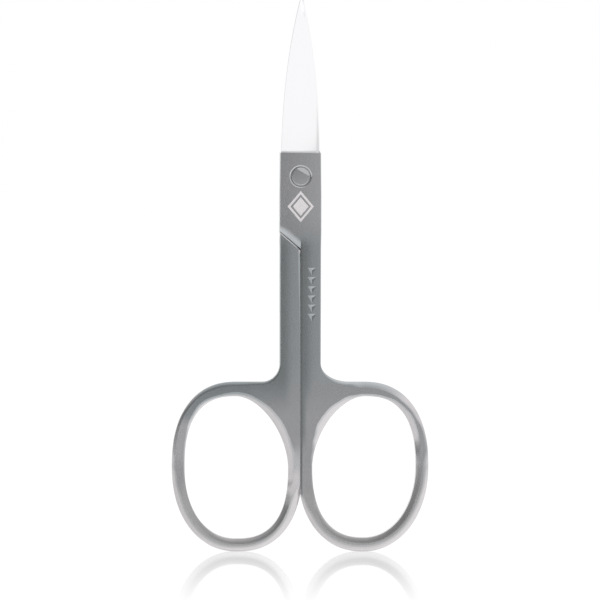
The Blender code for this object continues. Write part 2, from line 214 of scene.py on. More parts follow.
# The rivet's steel; the lighter tone on its head's facet is a painted highlight
RIVET_STEEL, FACET_HIGHLIGHT_STEEL = (0.60, 0.615, 0.63), (0.72, 0.73, 0.74)
RIVET_ROUGH, RIVET_STREAKS, RIVET_MARKS = 0.22, 0.06, 0.15
FACET_HIGHLIGHT_BLUR, FACET_HIGHLIGHT_Y = 0.02, (-1.0, -2.0)
TURNING_ACROSS, TURNING_DETAIL = 16.0, 3.0

WHITE = (1, 1, 1, 1)

# White sheet: its size in metres, and how it shines within a reach in millimetres
SHEET_WIDTH, SHEET_LENGTH, SHEET_IN_FRONT = 4.0, 2.2, 0.16
SHEET_WHITE, SHEET_MATT = 0.945, (0.15, 0.15, 0.15, 1)
SHINE, SHINE_ROUGHNESS, SHINE_REACH = 0.45, 0.03, 190.0
SHINE_BESIDE, SHINE_DEPTH = 21.0, 1.6

# Studio light: levels, with where each comes from as ramps over a direction's X, Y or Z
AMBIENT = 0.16
CEILING, CEILING_Z = 0.22, (0.0, 0.6)
LAMP, LAMP_Z = 0.45, (0.7, 0.95)
SIDE_LIGHT, SIDE_X = 0.5, (-0.25, 0.75)
FLOOR_GLOW, GLOW_Z = 0.08, (0.03, 0.12)
BEHIND_X, BEHIND_Y = (-0.9, -0.2), (0.1, 0.6)
SHADE, SHADE_X, SHADE_Z = 0.4, (-0.04, 0.02), (0.02, 0.0)
HORIZON_X, HORIZON_DROP, HORIZON_BLUR = (0.15, 0.45), (0.085, 0.01), (0.0, 0.03)

# Camera, and where the photograph shows the rivet, in pixels from the top left
CAMERA_AZIMUTH = math.radians(-3.0)
CAMERA_ELEVATION = math.radians(1.0)
CAMERA_ROLL = math.radians(0.085)
CAMERA_DISTANCE = 1.2
CAMERA_NEAR = 0.01
SENSOR_WIDTH = 36.0
PIXEL = 0.16304 * MM
PICTURE_PIXELS = 600
PIVOT_AT = (300.8, 176.5)


# Small sums

def smooth(share):
    """Ease a share from 0 to 1, and hold it there."""
    share = min(1.0, max(0.0, share))
    return share * share * (3 - 2 * share)


def mix(start, end, share):
    """A value part of the way from start to end."""
    return start + (end - start) * share


# Ground edges and rings

class Rim:
    """How an edge is ground off: how far in from the side, how deep, and how round.

    A power of 2 is a round edge, and 1 a flat chamfer. An upright rim is measured straight up from a
    sloping edge, so that it ends flush with an upright one.
    """

    def __init__(self, width, depth=None, power=2.0, upright=False):
        self.width = width
        self.depth = width if depth is None else depth
        self.power = power
        self.upright = upright

    def towards(self, other, share):
        return Rim(mix(self.width, other.width, share), mix(self.depth, other.depth, share),
                   mix(self.power, other.power, share), self.upright and other.upright)


class Grinding:
    """How a ring's edge is ground, from (angle, width, depth, power) marks round it.

    Angles are in degrees: 0 at the outer side, 90 at the top, 180 at the seam, 270 at the bottom.
    Widths and depths are in millimetres.
    """

    def __init__(self, *marks):
        self.marks = [(angle, Rim(width * MM, depth * MM, power)) for angle, width, depth, power in marks]

    def at(self, x, z):
        angle = RING.degrees_at(x, z)
        first_angle, first = self.marks[0]
        marks = self.marks + [(first_angle + 360, first)]
        if angle < first_angle:
            angle += 360
        for (low, rim_low), (high, rim_high) in zip(marks, marks[1:]):
            if low <= angle <= high:
                return rim_low.towards(rim_high, smooth((angle - low) / (high - low)))
        return first


class Oval:
    """An oval in the XZ plane, given by its outer limits."""

    def __init__(self, left, right, bottom, top):
        self.middle_x = (left + right) / 2
        self.middle_z = (bottom + top) / 2
        self.half_x = (right - left) / 2
        self.half_z = (top - bottom) / 2

    def point(self, angle, power):
        across = math.copysign(abs(math.cos(angle)) ** (2 / power), math.cos(angle))
        up = math.copysign(abs(math.sin(angle)) ** (2 / power), math.sin(angle))
        return self.middle_x + self.half_x * across, self.middle_z + self.half_z * up

    def degrees_at(self, x, z):
        """Degrees round the oval's middle at which a place lies, from 0 to 360."""
        return math.degrees(math.atan2(z - self.middle_z, x - self.middle_x)) % 360

    def angle_at(self, x, power):
        """Angle at which the lower part of the oval's inner side crosses x."""
        share = min(1.0, (self.middle_x - x) / self.half_x)
        return math.pi + math.acos(share ** (power / 2))


class RingShape:
    """How square each quarter of a ring is (2 is an ellipse, more is squarer), and its root's fillet."""

    def __init__(self, bottom_wall, bottom_outer, bottom_inner, hole_bottom_outer, hole_bottom_inner,
                 fillet):
        self.hole = Oval(SEAM_GAP / 2 + SEAM_WALL, RING_SIDE - OUTER_WALL, RING_FOOT + bottom_wall,
                         RING_TOP - TOP_WALL)
        self.top_outer = 2.35
        self.bottom_outer = bottom_outer
        self.bottom_inner = bottom_inner
        self.hole_top_outer = 2.55
        self.hole_top_inner = 1.74
        self.hole_bottom_outer = hole_bottom_outer
        self.hole_bottom_inner = hole_bottom_inner
        self.fillet_across, self.fillet_up = fillet


LEFT_RING = RingShape(bottom_wall=2.1 * MM, bottom_outer=2.15, bottom_inner=2.35,
                      hole_bottom_outer=2.15, hole_bottom_inner=2.55, fillet=(2.9 * MM, 2.9 * MM))
RIGHT_RING = RingShape(bottom_wall=2.25 * MM, bottom_outer=2.08, bottom_inner=2.25,
                       hole_bottom_outer=2.05, hole_bottom_inner=2.4, fillet=(4.8 * MM, 3.0 * MM))
RING = Oval(-RING_OVERRUN, RING_SIDE, RING_FOOT, RING_TOP)


# Outlines: points (x, z, rim) with the material on the left hand

def straight(start, end, start_rim, end_rim=None, steps=4):
    """A straight run, whose rim goes over from the start's to the end's."""
    end_rim = end_rim or start_rim
    points = []
    for step in range(steps + 1):
        share = step / steps
        points.append((mix(start[0], end[0], share), mix(start[1], end[1], share),
                       start_rim.towards(end_rim, smooth(share))))
    return points


def even_angles(oval, start, end, power):
    """Angles that divide an oval's arc into about equal lengths."""
    lengths, before = [0.0], None
    for step in range(ARC_SAMPLES + 1):
        point = Vector(oval.point(mix(start, end, step / ARC_SAMPLES), power))
        if before is not None:
            lengths.append(lengths[-1] + (point - before).length)
        before = point
    angles, place = [], 0
    for step in range(QUARTER_STEPS + 1):
        wanted = lengths[-1] * step / QUARTER_STEPS
        while place < ARC_SAMPLES - 1 and lengths[place + 1] < wanted:
            place += 1
        part = (wanted - lengths[place]) / max(NO_LENGTH, lengths[place + 1] - lengths[place])
        angles.append(mix(start, end, (place + min(1.0, part)) / ARC_SAMPLES))
    return angles


def oval_arc(oval, start, end, power, grinding):
    """A run along an oval, with the rims that its grinding gives."""
    points = []
    for angle in even_angles(oval, start, end, power):
        x, z = oval.point(angle, power)
        points.append((x, z, grinding.at(x, z)))
    return points


def root_fillet(shape, start_rim, end_rim):
    """The hollow corner between the ring's top and the shank."""
    points = []
    for step in range(FILLET_STEPS + 1):
        share = step / FILLET_STEPS
        angle = -QUARTER - QUARTER * share
        points.append((SHANK_SIDE + shape.fillet_across * (1 + math.cos(angle)),
                       RING_TOP + shape.fillet_up * (1 + math.sin(angle)),
                       start_rim.towards(end_rim, smooth(share))))
    return points


def diagonal_height(x):
    """Height of the lower edge of a half's own ride, which slopes down from its outer corner."""
    return -SHOULDER_DROP - (x + RIDE_HALF_WIDTH) * math.tan(SHOULDER_ANGLE)


def half_outline(shape, rims):
    """Outer outline of the half whose ring is on the right, from its left heel round."""
    seam = SEAM_GAP / 2
    notch = (seam, diagonal_height(seam))
    parting_angle = RING.angle_at(seam, shape.bottom_inner)
    parting = RING.point(parting_angle, shape.bottom_inner)
    middle_x = (seam - RIDE_HALF_WIDTH) / 2
    diagonal_middle = (middle_x, diagonal_height(middle_x))
    seam_middle = (seam, notch[1] - SEAM_EDGE_RUN)
    blend_start = (seam, min(notch[1] - SEAM_ROUND_RUN, parting[1] + SEAM_ROUND_RUN))
    left_heel, right_heel = (-HEEL_HALF_WIDTH, GRIND_LINE), (HEEL_HALF_WIDTH, GRIND_LINE)
    left_waist, right_waist = (-RIDE_HALF_WIDTH, -FULL_WIDTH_BELOW), (RIDE_HALF_WIDTH, -FULL_WIDTH_BELOW)
    left_corner, right_corner = (-RIDE_HALF_WIDTH, -SHOULDER_DROP), (RIDE_HALF_WIDTH, -SHOULDER_DROP)
    shank_top, shank_foot = (SHANK_SIDE, notch[1]), (SHANK_SIDE, RING_TOP + shape.fillet_up)
    ring_crest, fillet_end = (RING.middle_x, RING_TOP), (SHANK_SIDE + shape.fillet_across, RING_TOP)
    side, seam_edge, root, ring = rims["side"], rims["seam"], rims["root"], rims["ring"]
    diagonal_left, diagonal, diagonal_right = rims["diagonal"]
    return [
        straight(left_heel, left_waist, side),
        straight(left_waist, left_corner, side),
        straight(left_corner, diagonal_middle, diagonal_left, diagonal, steps=8),
        straight(diagonal_middle, notch, diagonal, diagonal_right, steps=8),
        straight(notch, seam_middle, rims["seam_top"], seam_edge, steps=14),
        straight(seam_middle, blend_start, seam_edge, steps=16),
        straight(blend_start, parting, seam_edge, ring.at(*parting), steps=20),
        oval_arc(RING, parting_angle, 3 * QUARTER, shape.bottom_inner, ring),
        oval_arc(RING, -QUARTER, 0, shape.bottom_outer, ring),
        oval_arc(RING, 0, QUARTER, shape.top_outer, ring),
        straight(ring_crest, fillet_end, ring.at(*ring_crest), root, steps=14),
        root_fillet(shape, root, side),
        straight(shank_foot, shank_top, side, steps=20),
        straight(shank_top, right_corner, side, steps=1),
        straight(right_corner, right_waist, side),
        straight(right_waist, right_heel, side),
        straight(right_heel, left_heel, Rim(GRIND_EDGE, GRIND_EDGE_DEPTH), steps=6),
    ]


def hole_outline(shape, rims):
    """Outline of the finger hole."""
    hole, edge = shape.hole, rims["hole"]
    return [
        oval_arc(hole, QUARTER, 0, shape.hole_top_outer, edge),
        oval_arc(hole, 0, -QUARTER, shape.hole_bottom_outer, edge),
        oval_arc(hole, -QUARTER, -2 * QUARTER, shape.hole_bottom_inner, edge),
        oval_arc(hole, 2 * QUARTER, QUARTER, shape.hole_top_inner, edge),
    ]


def corner_insets(segments):
    """Give each outline point the vector that insets it by its rims' widths, and its rim."""
    points = []
    for index, segment in enumerate(segments):
        before = segments[index - 1][-1][2]
        for place, (x, z, rim) in enumerate(segment[:-1]):
            points.append((Vector((x, z)), before if place == 0 else rim, rim))
    corners = []
    for index, (point, rim_before, rim_after) in enumerate(points):
        into = (point - points[index - 1][0]).normalized()
        out_of = (points[(index + 1) % len(points)][0] - point).normalized()
        normal_before = Vector((-into.y, into.x))
        normal_after = Vector((-out_of.y, out_of.x))
        rim = rim_before.towards(rim_after, 0.5)
        cosine = normal_before.dot(normal_after)
        upright = rim_before if rim_before.upright else rim_after
        if upright.upright:
            rim = upright
            inset = Vector((0, rim.width / max(normal_before.y, normal_after.y)))
        elif cosine > math.cos(STRAIGHT_ANGLE):
            inset = (normal_before + normal_after) * rim.width / (1 + cosine)
        else:
            along_before = (rim_before.width - rim_after.width * cosine) / (1 - cosine ** 2)
            along_after = (rim_after.width - rim_before.width * cosine) / (1 - cosine ** 2)
            inset = normal_before * along_before + normal_after * along_after
        corners.append((point, inset, rim))
    return corners


# Modelling steps

def deselect_all():
    if bpy.context.object and bpy.context.object.mode == "EDIT":
        bpy.ops.object.mode_set(mode="OBJECT")
    bpy.ops.object.select_all(action="DESELECT")


def pick(piece, *others):
    """Make a piece the active one, with only it and the others selected."""
    deselect_all()
    for chosen in (piece, *others):
        chosen.select_set(True)
    bpy.context.view_layer.objects.active = piece


def start_loop(name, places):
    """A primitive circle whose points are pulled to their places."""
    deselect_all()
    bpy.ops.mesh.primitive_circle_add(vertices=len(places), radius=MM)
    piece = bpy.context.object
    piece.name = name
    piece.data.name = name
    for vertex, place in zip(piece.data.vertices, places):
        vertex.co = place
    return piece


def extrude_loop(piece, places):
    """Extrude the selected loop and pull its new points to their places."""
    bpy.ops.mesh.extrude_region()
    edited = bmesh.from_edit_mesh(piece.data)
    chosen = [vertex for vertex in edited.verts if vertex.select]
    for vertex, place in zip(chosen, places):
        vertex.co = place
    bmesh.update_edit_mesh(piece.data)


def select_rows(piece, start, count):
    """In edit mode, select only the loop that a run of points makes."""
    bpy.ops.mesh.select_all(action="DESELECT")
    bpy.ops.mesh.select_mode(type="VERT")
    edited = bmesh.from_edit_mesh(piece.data)
    edited.verts.ensure_lookup_table()
    for index in range(start, start + count):
        edited.verts[index].select = True
    edited.select_flush_mode()
    bmesh.update_edit_mesh(piece.data)


def skin_rows(name, rows, close=True):
    """A body extruded from row to row, with its end rows filled."""
    piece = start_loop(name, rows[0])
    bpy.ops.object.mode_set(mode="EDIT")
    bpy.ops.mesh.select_all(action="SELECT")
    for row in rows[1:]:
        extrude_loop(piece, row)
    if close:
        bpy.ops.mesh.edge_face_add()
        select_rows(piece, 0, len(rows[0]))
        bpy.ops.mesh.edge_face_add()
    bpy.ops.object.mode_set(mode="OBJECT")
    return piece


def outward(piece):
    """Merge doubled points and turn the faces outwards."""
    pick(piece)
    bpy.ops.object.mode_set(mode="EDIT")
    bpy.ops.mesh.select_all(action="SELECT")
    bpy.ops.mesh.remove_doubles(threshold=MERGE_WITHIN)
    bpy.ops.mesh.normals_make_consistent(inside=False)
    bpy.ops.object.mode_set(mode="OBJECT")


def apply_modifier(piece, name, kind, **settings):
    """Give a piece a modifier and apply it at once."""
    modifier = piece.modifiers.new(name, kind)
    for key, value in settings.items():
        setattr(modifier, key, value)
    pick(piece)
    bpy.ops.object.modifier_apply(modifier=modifier.name)


def cut(piece, cutter):
    """Take the cutter's space out of a piece."""
    outward(cutter)
    apply_modifier(piece, "cut", "BOOLEAN", operation="DIFFERENCE", solver="EXACT", object=cutter)
    bpy.data.objects.remove(cutter, do_unlink=True)


def fix_place(piece):
    """Put the object at the origin, with its place in its mesh."""
    pick(piece)
    bpy.ops.object.transform_apply(location=True, rotation=True, scale=True)


def shade(piece):
    """Round faces smooth, flat faces flat."""
    pick(piece)
    bpy.ops.object.shade_smooth_by_angle(angle=SMOOTH_ANGLE)
    apply_modifier(piece, "flat faces", "WEIGHTED_NORMAL", keep_sharp=True)


def turned(name, profile):
    """A body spun about the rivet's axis from (radius, height above the back) points, top first."""
    deselect_all()
    bpy.ops.mesh.primitive_plane_add(size=MM)
    piece = bpy.context.object
    piece.name = name
    bpy.ops.object.mode_set(mode="EDIT")
    bpy.ops.mesh.select_all(action="SELECT")
    bpy.ops.mesh.merge(type="CENTER")
    edited = bmesh.from_edit_mesh(piece.data)
    edited.verts.ensure_lookup_table()
    edited.verts[0].co = (profile[0][0], PLATE_BACK - profile[0][1], 0)
    bmesh.update_edit_mesh(piece.data)
    for (radius, height), (radius_before, height_before) in zip(profile[1:], profile):
        bpy.ops.mesh.extrude_region_move(
            TRANSFORM_OT_translate={"value": (radius - radius_before, height_before - height, 0)})
    bpy.ops.mesh.select_all(action="SELECT")
    bpy.ops.mesh.spin(steps=TURN_STEPS, angle=2 * math.pi, use_auto_merge=True,
                      center=(0, 0, 0), axis=(0, 1, 0))
    bpy.ops.object.mode_set(mode="OBJECT")
    outward(piece)
    return piece


# Halves

def thinning(point):
    """How far the left ring's face is ground back, in the pose with the ring on the right."""
    angle = RING.degrees_at(point.x, point.y)
    ground = smooth((angle - THINNED_FROM) / (THINNED_FULLY - THINNED_FROM))
    return THINNED_BY * ground * (1 - smooth((angle - THICKER_FROM) / (FULL_AGAIN - THICKER_FROM)))


def face_rows(corners, side, thinned):
    """A face's ground edge, from the side wall to a narrow flat strip inside it."""
    rows = []
    for step in range(RIM_ROWS + 2):
        row = []
        for point, inset, rim in corners:
            angle = QUARTER * min(1.0, step / RIM_ROWS)
            across = 1 - math.cos(angle) ** (2 / rim.power)
            down = rim.depth * (1 - math.sin(angle) ** (2 / rim.power))
            place = point + inset * across
            if step > RIM_ROWS:
                place += inset.normalized() * FLAT_MARGIN
            if thinned:
                down += thinning(point)
            row.append(Vector((place.x, PARTING + side * (THICKNESS / 2 - down), place.y)))
        rows.append(row)
    return rows


def select_open_edges(piece, side):
    """In edit mode, select the open edges of the back (side 1) or the front (side -1)."""
    bpy.ops.mesh.select_mode(type="EDGE")
    bpy.ops.mesh.select_all(action="DESELECT")
    edited = bmesh.from_edit_mesh(piece.data)
    for edge in edited.edges:
        on_side = all((vertex.co.y - PARTING) * side > 0 for vertex in edge.verts)
        edge.select_set(on_side and edge.is_boundary)
    edited.select_flush_mode()
    bmesh.update_edit_mesh(piece.data)


def rounded_plate(name, shape, front_rims, back_rims):
    """The forged plate, its edges ground by each outline point's own rim."""
    loops = []
    for outline in (half_outline, hole_outline):
        front = corner_insets(outline(shape, front_rims))
        back = corner_insets(outline(shape, back_rims))
        rows = face_rows(back, 1, back_rims["thinned"])[::-1]
        rows += face_rows(front, -1, front_rims["thinned"])
        loops.append(skin_rows(name, rows, close=False))
    plate = loops[0]
    pick(plate, *loops[1:])
    bpy.ops.object.join()
    bpy.ops.object.mode_set(mode="EDIT")
    for side in (1, -1):
        select_open_edges(plate, side)
        bpy.ops.mesh.fill(use_beauty=True)
    bpy.ops.object.mode_set(mode="OBJECT")
    outward(plate)
    return plate


def ride_space():
    """Cutter for the layer behind a half's ride, down to the shoulder that the other ride meets."""
    drop = SHOULDER_GAP / math.cos(SHOULDER_ANGLE)
    left, right = -RIDE_HALF_WIDTH - MARGIN, RIDE_HALF_WIDTH + MARGIN
    top = GRIND_LINE + MARGIN
    edge_slope = SHOULDER_EDGE / SHOULDER_EDGE_DEPTH
    rows = []
    for y, lower in ((PARTING - RIDE_GAP / 2, 0.0), (PLATE_BACK - SHOULDER_EDGE_DEPTH, 0.0),
                     (PLATE_BACK + MARGIN, SHOULDER_EDGE + MARGIN * edge_slope)):
        bottom_left = diagonal_height(-left) - drop - lower
        bottom_right = diagonal_height(-right) - drop - lower
        rows.append([Vector((left, y, bottom_left)), Vector((right, y, bottom_right)),
                     Vector((right, y, top)), Vector((left, y, top))])
    return skin_rows("ride_space", rows)


def front_bore():
    """Bore of the front half, with the chamfered recess in which the rivet's head turns."""
    recess_floor = THICKNESS - RIVET_HEAD_HEIGHT - RUNNING_CLEARANCE
    bore = RIVET_SHANK_RADIUS + RUNNING_CLEARANCE
    recess = RIVET_HEAD_RADIUS + RECESS_CLEARANCE
    mouth = recess + RECESS_CHAMFER * (1 + MARGIN / RECESS_CHAMFER_DEPTH)
    return turned("front_bore", [
        (0.0, THICKNESS + MARGIN), (mouth, THICKNESS + MARGIN),
        (recess, THICKNESS - RECESS_CHAMFER_DEPTH), (recess, recess_floor), (bore, recess_floor),
        (bore, -MARGIN), (0.0, -MARGIN)])


def rear_bore():
    """Bore of the rear half, countersunk for the rivet's spread tail, turned as the half is modelled."""
    bore = RIVET_SHANK_RADIUS + TAIL_CLEARANCE
    slope = (RIVET_TAIL_RADIUS - RIVET_SHANK_RADIUS) / RIVET_TAIL_HEIGHT
    cutter = turned("rear_bore", [
        (0.0, THICKNESS + MARGIN), (bore, THICKNESS + MARGIN), (bore, RIVET_TAIL_HEIGHT),
        (bore + slope * (RIVET_TAIL_HEIGHT + MARGIN), -MARGIN), (0.0, -MARGIN)])
    turn_over(cutter)
    return cutter


def forged_half(name, shape, front_rims, back_rims):
    """A half without its blade, in the pose of the front one: ring on the right, ride in front."""
    half = rounded_plate(name, shape, front_rims, back_rims)
    cut(half, ride_space())
    return half


def engraved_row():
    """Cutter for a row of small sunk triangles down the right shank."""
    reach = (NOTCH_DEPTH + MARGIN) / NOTCH_DEPTH
    cutters = []
    for number in range(NOTCHES):
        deselect_all()
        bpy.ops.mesh.primitive_cone_add(
            vertices=3, radius1=reach * NOTCH_REACH, radius2=0, depth=reach * NOTCH_DEPTH,
            location=(NOTCH_X, PLATE_FRONT + NOTCH_DEPTH - reach * NOTCH_DEPTH / 2,
                      NOTCH_TOP - NOTCH_PITCH * number),
            rotation=(-QUARTER, 0, 0))
        cutters.append(bpy.context.object)
        fix_place(cutters[-1])
    pick(*cutters)
    bpy.ops.object.join()
    return cutters[0]


def lozenge_block(name, share, near, far):
    """A lozenge of a share of the etched one's size, from near to far in Y."""
    half_x, half_z = ETCHED_HALF_WIDTH * share, ETCHED_HALF_HEIGHT * share
    corners = ((half_x, ETCHED_Z), (0, ETCHED_Z + half_z), (-half_x, ETCHED_Z), (0, ETCHED_Z - half_z))
    return skin_rows(name, [[Vector((x, y, z)) for x, z in corners] for y in (near, far)])


def etched_lozenge():
    """Cutter for the shallow etched lozenge below the rivet: a frame and a filled middle."""
    near, far = PLATE_FRONT - MARGIN, PLATE_FRONT + ETCHED_DEPTH
    border = lozenge_block("etched", 1.0, near, far)
    outward(border)
    cut(border, lozenge_block("hollow", ETCHED_FRAME, near - MARGIN, PLATE_FRONT + MARGIN))
    middle = lozenge_block("etched", ETCHED_MIDDLE, near, far)
    outward(middle)
    pick(border, middle)
    bpy.ops.object.join()
    return border


def turn_over(piece):
    """Swap front and back and left and right, as the rear half lies."""
    piece.matrix_world = Matrix.Translation((0, 2 * PARTING, 0)) @ Matrix.Rotation(math.pi, 4, "Z")
    fix_place(piece)


# Blades

def blade_share(z):
    """How far up the blade a height is, from 0 at the heel to 1 at the tip."""
    return max(0.0, z - GRIND_LINE) / (TIP_TOP - GRIND_LINE)


def blade_half_width(z):
    heel = HEEL_HALF_WIDTH - GRIND_STEP
    share = blade_share(z)
    belly = heel - BLADE_TAPER - TIP_HALF_WIDTH
    width = heel - BLADE_TAPER * share - belly * share ** BELLY_POWER
    to_tip = min(1.0, max(0.0, (z - TIP_TOP + TIP_RADIUS) / TIP_RADIUS))
    return width * math.sqrt(1 - TIP_ROUNDING * to_tip ** 2)


def blade_bend(z):
    """How far the blades lean and curve out of the plate's plane at a height."""
    length = TIP_TOP - GRIND_LINE
    leaning = length * math.tan(BLADE_LEAN)
    curving = BLADE_BEND - leaning
    radius = (length ** 2 + curving ** 2) / (2 * curving)
    share = blade_share(z)
    return leaning * share + radius - math.sqrt(radius ** 2 - (length * share) ** 2)


def blade_section(z, bend_side):
    """Section of a blade in the front layer: spine on the left, cutting edge on the right."""
    half_width = blade_half_width(z)
    spine = -half_width
    edge = half_width - EDGE_SETBACK * half_width / HEEL_HALF_WIDTH
    width = edge - spine
    share_up = blade_share(z)
    inner = RIDE_GAP / 2
    behind_edge = mix(EDGE_THICK_HEEL, EDGE_THICK_TIP, share_up)
    thick = mix(SPINE_THICK_HEEL, SPINE_THICK_TIP, share_up ** THINNING_POWER)
    bevel = min(EDGE_BEVEL, CORNER_SHARE * width)
    rounding = min(SPINE_ROUND, CORNER_SHARE * width)
    profile = []
    for step in range(SECTION_STEPS + 1):
        angle = QUARTER * step / SECTION_STEPS
        profile.append((rounding * (1 - math.cos(angle)),
                        inner + HOLLOW + (thick - HOLLOW) * math.sin(angle)))
    for step in range(1, SECTION_STEPS + 1):
        share = step / SECTION_STEPS
        profile.append((mix(rounding, width - bevel, share),
                        inner + mix(thick, behind_edge, share ** CROWN_POWER)))
    profile += [(width, inner + EDGE_LAND + EDGE_TIP), (width, inner + EDGE_LAND)]
    for step in range(SECTION_STEPS - 1, 0, -1):
        share = step / SECTION_STEPS
        profile.append((width * share, inner + EDGE_LAND + HOLLOW * math.sin(math.pi * share)))
    middle = PARTING + bend_side * blade_bend(z)
    return [Vector((spine + across, middle - out, z)) for across, out in profile]


def blade(name, bend_side):
    """A blade whose root is buried in the ride; bend_side is -1 to curve forwards, 1 backwards."""
    heights = [GRIND_LINE - BLADE_ROOT]
    straight_top = TIP_TOP - TIP_RADIUS
    for step in range(BLADE_STEPS + 1):
        heights.append(mix(GRIND_LINE, straight_top, step / BLADE_STEPS))
    for step in range(1, TIP_STEPS + 1):
        heights.append(straight_top + TIP_RADIUS * math.sin(QUARTER * step / TIP_STEPS))
    piece = skin_rows(name, [blade_section(z, bend_side) for z in heights])
    outward(piece)
    return piece


# Rivet

def rivet():
    """Head with a low crown, a rounded edge and a flat facet, shank and spread tail."""
    head_floor = THICKNESS - RIVET_HEAD_HEIGHT
    flat_radius = RIVET_HEAD_RADIUS - RIVET_EDGE_ROUND
    profile = []
    for step in range(CROWN_STEPS + 1):
        share = step / CROWN_STEPS
        profile.append((flat_radius * share, THICKNESS + RIVET_CROWN * (1 - share ** 2)))
    for step in range(1, EDGE_ROUND_STEPS + 1):
        angle = QUARTER * step / EDGE_ROUND_STEPS
        profile.append((flat_radius + RIVET_EDGE_ROUND * math.sin(angle),
                        THICKNESS - RIVET_EDGE_ROUND * (1 - math.cos(angle))))
    profile += [(RIVET_HEAD_RADIUS, head_floor), (RIVET_SHANK_RADIUS, head_floor),
                (RIVET_SHANK_RADIUS, RIVET_TAIL_HEIGHT), (RIVET_TAIL_RADIUS, 0.0), (0.0, 0.0)]
    piece = turned("rivet", profile)
    towards = Vector((math.cos(HEAD_FACET_TOWARDS), 0, math.sin(HEAD_FACET_TOWARDS)))
    chord = towards * HEAD_FACET_FROM + Vector((0, PLATE_FRONT, 0))
    outwards = towards * math.sin(HEAD_FACET_TILT) + Vector((0, -math.cos(HEAD_FACET_TILT), 0))
    pick(piece)
    bpy.ops.object.mode_set(mode="EDIT")
    bpy.ops.mesh.select_all(action="SELECT")
    bpy.ops.mesh.bisect(plane_co=chord, plane_no=outwards, use_fill=True, clear_outer=True,
                        threshold=MERGE_WITHIN)
    bpy.ops.object.mode_set(mode="OBJECT")
    outward(piece)
    return piece


# Shader sums

class Sum:
    """A shader socket that Python's operators add Math nodes to."""

    def __init__(self, look, socket):
        self.look = look
        self.socket = socket

    def _math(self, operation, *values):
        return self.look.number("Math", {"operation": operation}, dict(enumerate(values)))

    def __add__(self, other):
        return self._math("ADD", self, other)

    __radd__ = __add__

    def __sub__(self, other):
        return self._math("SUBTRACT", self, other)

    def __rsub__(self, other):
        return self._math("SUBTRACT", other, self)

    def __mul__(self, other):
        return self._math("MULTIPLY", self, other)

    __rmul__ = __mul__

    def __truediv__(self, other):
        return self._math("DIVIDE", self, other)

    def __abs__(self):
        return self._math("ABSOLUTE", self)

    def root(self):
        return self._math("SQRT", self)

    def over(self, other):
        return self._math("MAXIMUM", self, other)

    def under(self, other):
        return self._math("MINIMUM", self, other)

    def held(self):
        """The value, kept from passing -1 and 1."""
        return self.under(1.0).over(-1.0)

    def ramp(self, low, high, at_low=0.0, at_high=1.0):
        """Goes smoothly from at_low to at_high between low and high."""
        return self.look.number(
            "MapRange", {"interpolation_type": "SMOOTHSTEP"},
            {"Value": self, "From Min": low, "From Max": high, "To Min": at_low, "To Max": at_high})

    def band(self, start, full, last, end):
        """1 from full to last, fading to 0 at start and end."""
        return self.ramp(start, full) * self.ramp(end, last)


class Look:
    """The node tree of a material or of the world. Node kinds are named without ShaderNode."""

    def __init__(self, owner):
        owner.use_nodes = True
        self.tree = owner.node_tree
        self.tree.nodes.clear()

    def node(self, kind, settings=None, inputs=None):
        made = self.tree.nodes.new("ShaderNode" + kind)
        for key, value in (settings or {}).items():
            setattr(made, key, value)
        for key, value in (inputs or {}).items():
            socket = made.inputs[key]
            if isinstance(value, Sum):
                self.tree.links.new(value.socket, socket)
            elif isinstance(value, bpy.types.NodeSocket):
                self.tree.links.new(value, socket)
            else:
                socket.default_value = value
        return made

    def number(self, kind, settings=None, inputs=None):
        return Sum(self, self.node(kind, settings, inputs).outputs[0])

    def place(self):
        """Object coordinates in millimetres, as three numbers."""
        metres = self.split(self.node("TexCoord").outputs["Object"])
        return [part * (1 / MM) for part in metres]

    def split(self, vector):
        """The X, Y and Z of a vector, as three numbers."""
        parts = self.node("SeparateXYZ", inputs={"Vector": vector}).outputs
        return [Sum(self, parts[axis]) for axis in "XYZ"]

    def vector(self, x, y, z):
        return self.node("CombineXYZ", inputs={"X": x, "Y": y, "Z": z}).outputs[0]

    def noise(self, x, y, z, scale, detail=2.0, roughness=0.5):
        """Noise from 0 to 1 over a place, which may be stretched."""
        return self.number("TexNoise", {"noise_dimensions": "3D"},
                           {"Vector": self.vector(x, y, z), "Scale": scale, "Detail": detail,
                            "Roughness": roughness})

    def blend(self, share, first, second):
        """The first colour, going over to the second with the share."""
        ends = [end if isinstance(end, bpy.types.NodeSocket) else (*end, 1.0) for end in (first, second)]
        made = self.node("Mix", {"data_type": "RGBA"}, {"Factor": share, 6: ends[0], 7: ends[1]})
        return made.outputs[2]

    def tilted_normal(self, to_right, to_top):
        """The surface's own normal, leaning by these amounts in the object's frame."""
        normal = self.node("TexCoord").outputs["Normal"]
        leaning = self.node("VectorMath", {"operation": "ADD"},
                            {0: normal, 1: self.vector(to_right, 0.0, to_top)})
        turned_out = self.node("VectorTransform",
                               {"vector_type": "NORMAL", "convert_from": "OBJECT", "convert_to": "WORLD"},
                               {"Vector": leaning.outputs[0]})
        return turned_out.outputs[0]

    def bump(self, height, normal=None):
        """A normal with fine marks of this height, on the surface's own or another."""
        inputs = {"Strength": 1.0, "Distance": BUMP_REACH, "Height": height}
        if normal is not None:
            inputs["Normal"] = normal
        return self.node("Bump", inputs=inputs).outputs[0]

    def surface(self, shader):
        output = self.node("OutputMaterial")
        self.tree.links.new(shader.outputs[0], output.inputs["Surface"])

    def steel(self, colour, roughness, normal, metallic=1.0):
        """Finish the material as bare metal."""
        self.surface(self.node("BsdfPrincipled", inputs={
            "Base Color": colour, "Metallic": metallic, "Roughness": roughness, "Normal": normal}))


# Materials

def round_ring(look, x, z):
    """Place round the nearer ring's middle: across, up, and the turn from its outer side in radians."""
    across = abs(x) - RING.middle_x / MM
    up = z - RING.middle_z / MM
    return across, up, look.number("Math", {"operation": "ARCTAN2"}, {0: up, 1: across})


